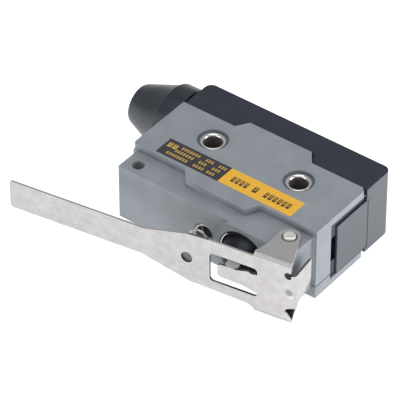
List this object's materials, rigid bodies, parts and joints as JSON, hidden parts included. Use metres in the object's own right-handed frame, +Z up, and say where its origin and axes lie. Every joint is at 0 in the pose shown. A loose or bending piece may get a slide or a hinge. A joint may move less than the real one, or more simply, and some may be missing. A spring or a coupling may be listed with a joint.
{
  "type": "limit switch",
  "caption": "Compact enclosed limit switch with a stamped hinge lever, rubber-capped plunger, terminal cover and cable boot.",
  "frame": {"origin": "midway between the two mounting holes, on the underside that rests on the machine", "axes": "+Z up along the mounting holes, +X along the case towards the lever's hinge end, +Y towards the terminal cover"},
  "size_m": [0.0757, 0.056, 0.0204],
  "materials": {
    "die_cast": "satin grey die-cast with a fine texture",
    "seal_rubber": "matt black seal",
    "nickel": "bright nickel plate",
    "black_plastic": "satin black moulding",
    "boot_rubber": "moulded black rubber",
    "label_black": "printed foil",
    "label_orange": "printed foil",
    "stainless": "satin stamped stainless steel",
    "pin_steel": "turned steel",
    "spring_steel": "drawn wire",
    "cap_rubber": "soft black rubber",
    "brass": "turned brass",
    "silver": "silver contact metal",
    "phenolic": "brown moulded insulation"
  },
  "bodies": {
    "case": {"housing": "die_cast", "side_plate": "die_cast", "plate_gasket": "seal_rubber", "bushing_boot_end": "nickel", "bushing_hinge_end": "nickel", "hinge_end_panel": "black_plastic", "cable_end_panel": "black_plastic", "terminal_cover": "black_plastic", "cover_gasket": "seal_rubber", "cover_screws": "nickel", "cable_boot": "boot_rubber", "label_black_half": "label_black", "label_orange_half": "label_orange", "hinge_pin": "pin_steel", "lever_spring": "spring_steel", "plunger_cap": "cap_rubber", "cap_retaining_ring": "spring_steel", "plunger_bush": "brass", "plunger_spring": "spring_steel", "contact_base": "phenolic", "common_terminal": "brass", "normally_open_terminal": "brass", "normally_closed_terminal": "brass", "normally_open_contact": "silver", "normally_closed_contact": "silver", "terminal_screws": "nickel", "terminal_washers": "nickel"},
    "lever": {"lever": "stainless"},
    "plunger": {"plunger": "pin_steel", "overtravel_spring": "spring_steel"},
    "contact_blade": {"snap_blade": "brass", "snap_spring": "spring_steel", "moving_contact": "silver"}
  },
  "joints": [
    {"name": "lever_hinge", "type": "hinge", "parent": "case", "child": "lever", "pos_m": [0.0223, -0.0166, 0.01065], "axis": [0, 0, -1], "range_deg": [0, 11], "stiffness_Nm_per_rad": 0.05, "springref_deg": -20.05, "deforming": ["lever_spring"]},
    {"name": "plunger_slide", "type": "slide", "parent": "case", "child": "plunger", "axis": [0, 1, 0], "range_m": [0, 0.0023], "stiffness_N_per_m": 4, "springref_m": -0.002, "deforming": ["plunger_cap", "plunger_spring", "overtravel_spring"]},
    {"name": "blade_hinge", "type": "hinge", "parent": "case", "child": "contact_blade", "pos_m": [0.0201, -0.00605, 0.01065], "axis": [0, 0, -1], "range_deg": [0, 2.1], "stiffness_Nm_per_rad": 0.004, "springref_deg": -5.73}
  ],
  "couplings": [
    {"joint": "plunger_slide", "follows": "lever_hinge", "m_per_rad": 0.011},
    {"joint": "blade_hinge", "follows": "lever_hinge", "ratio": 0.185}
  ]
}
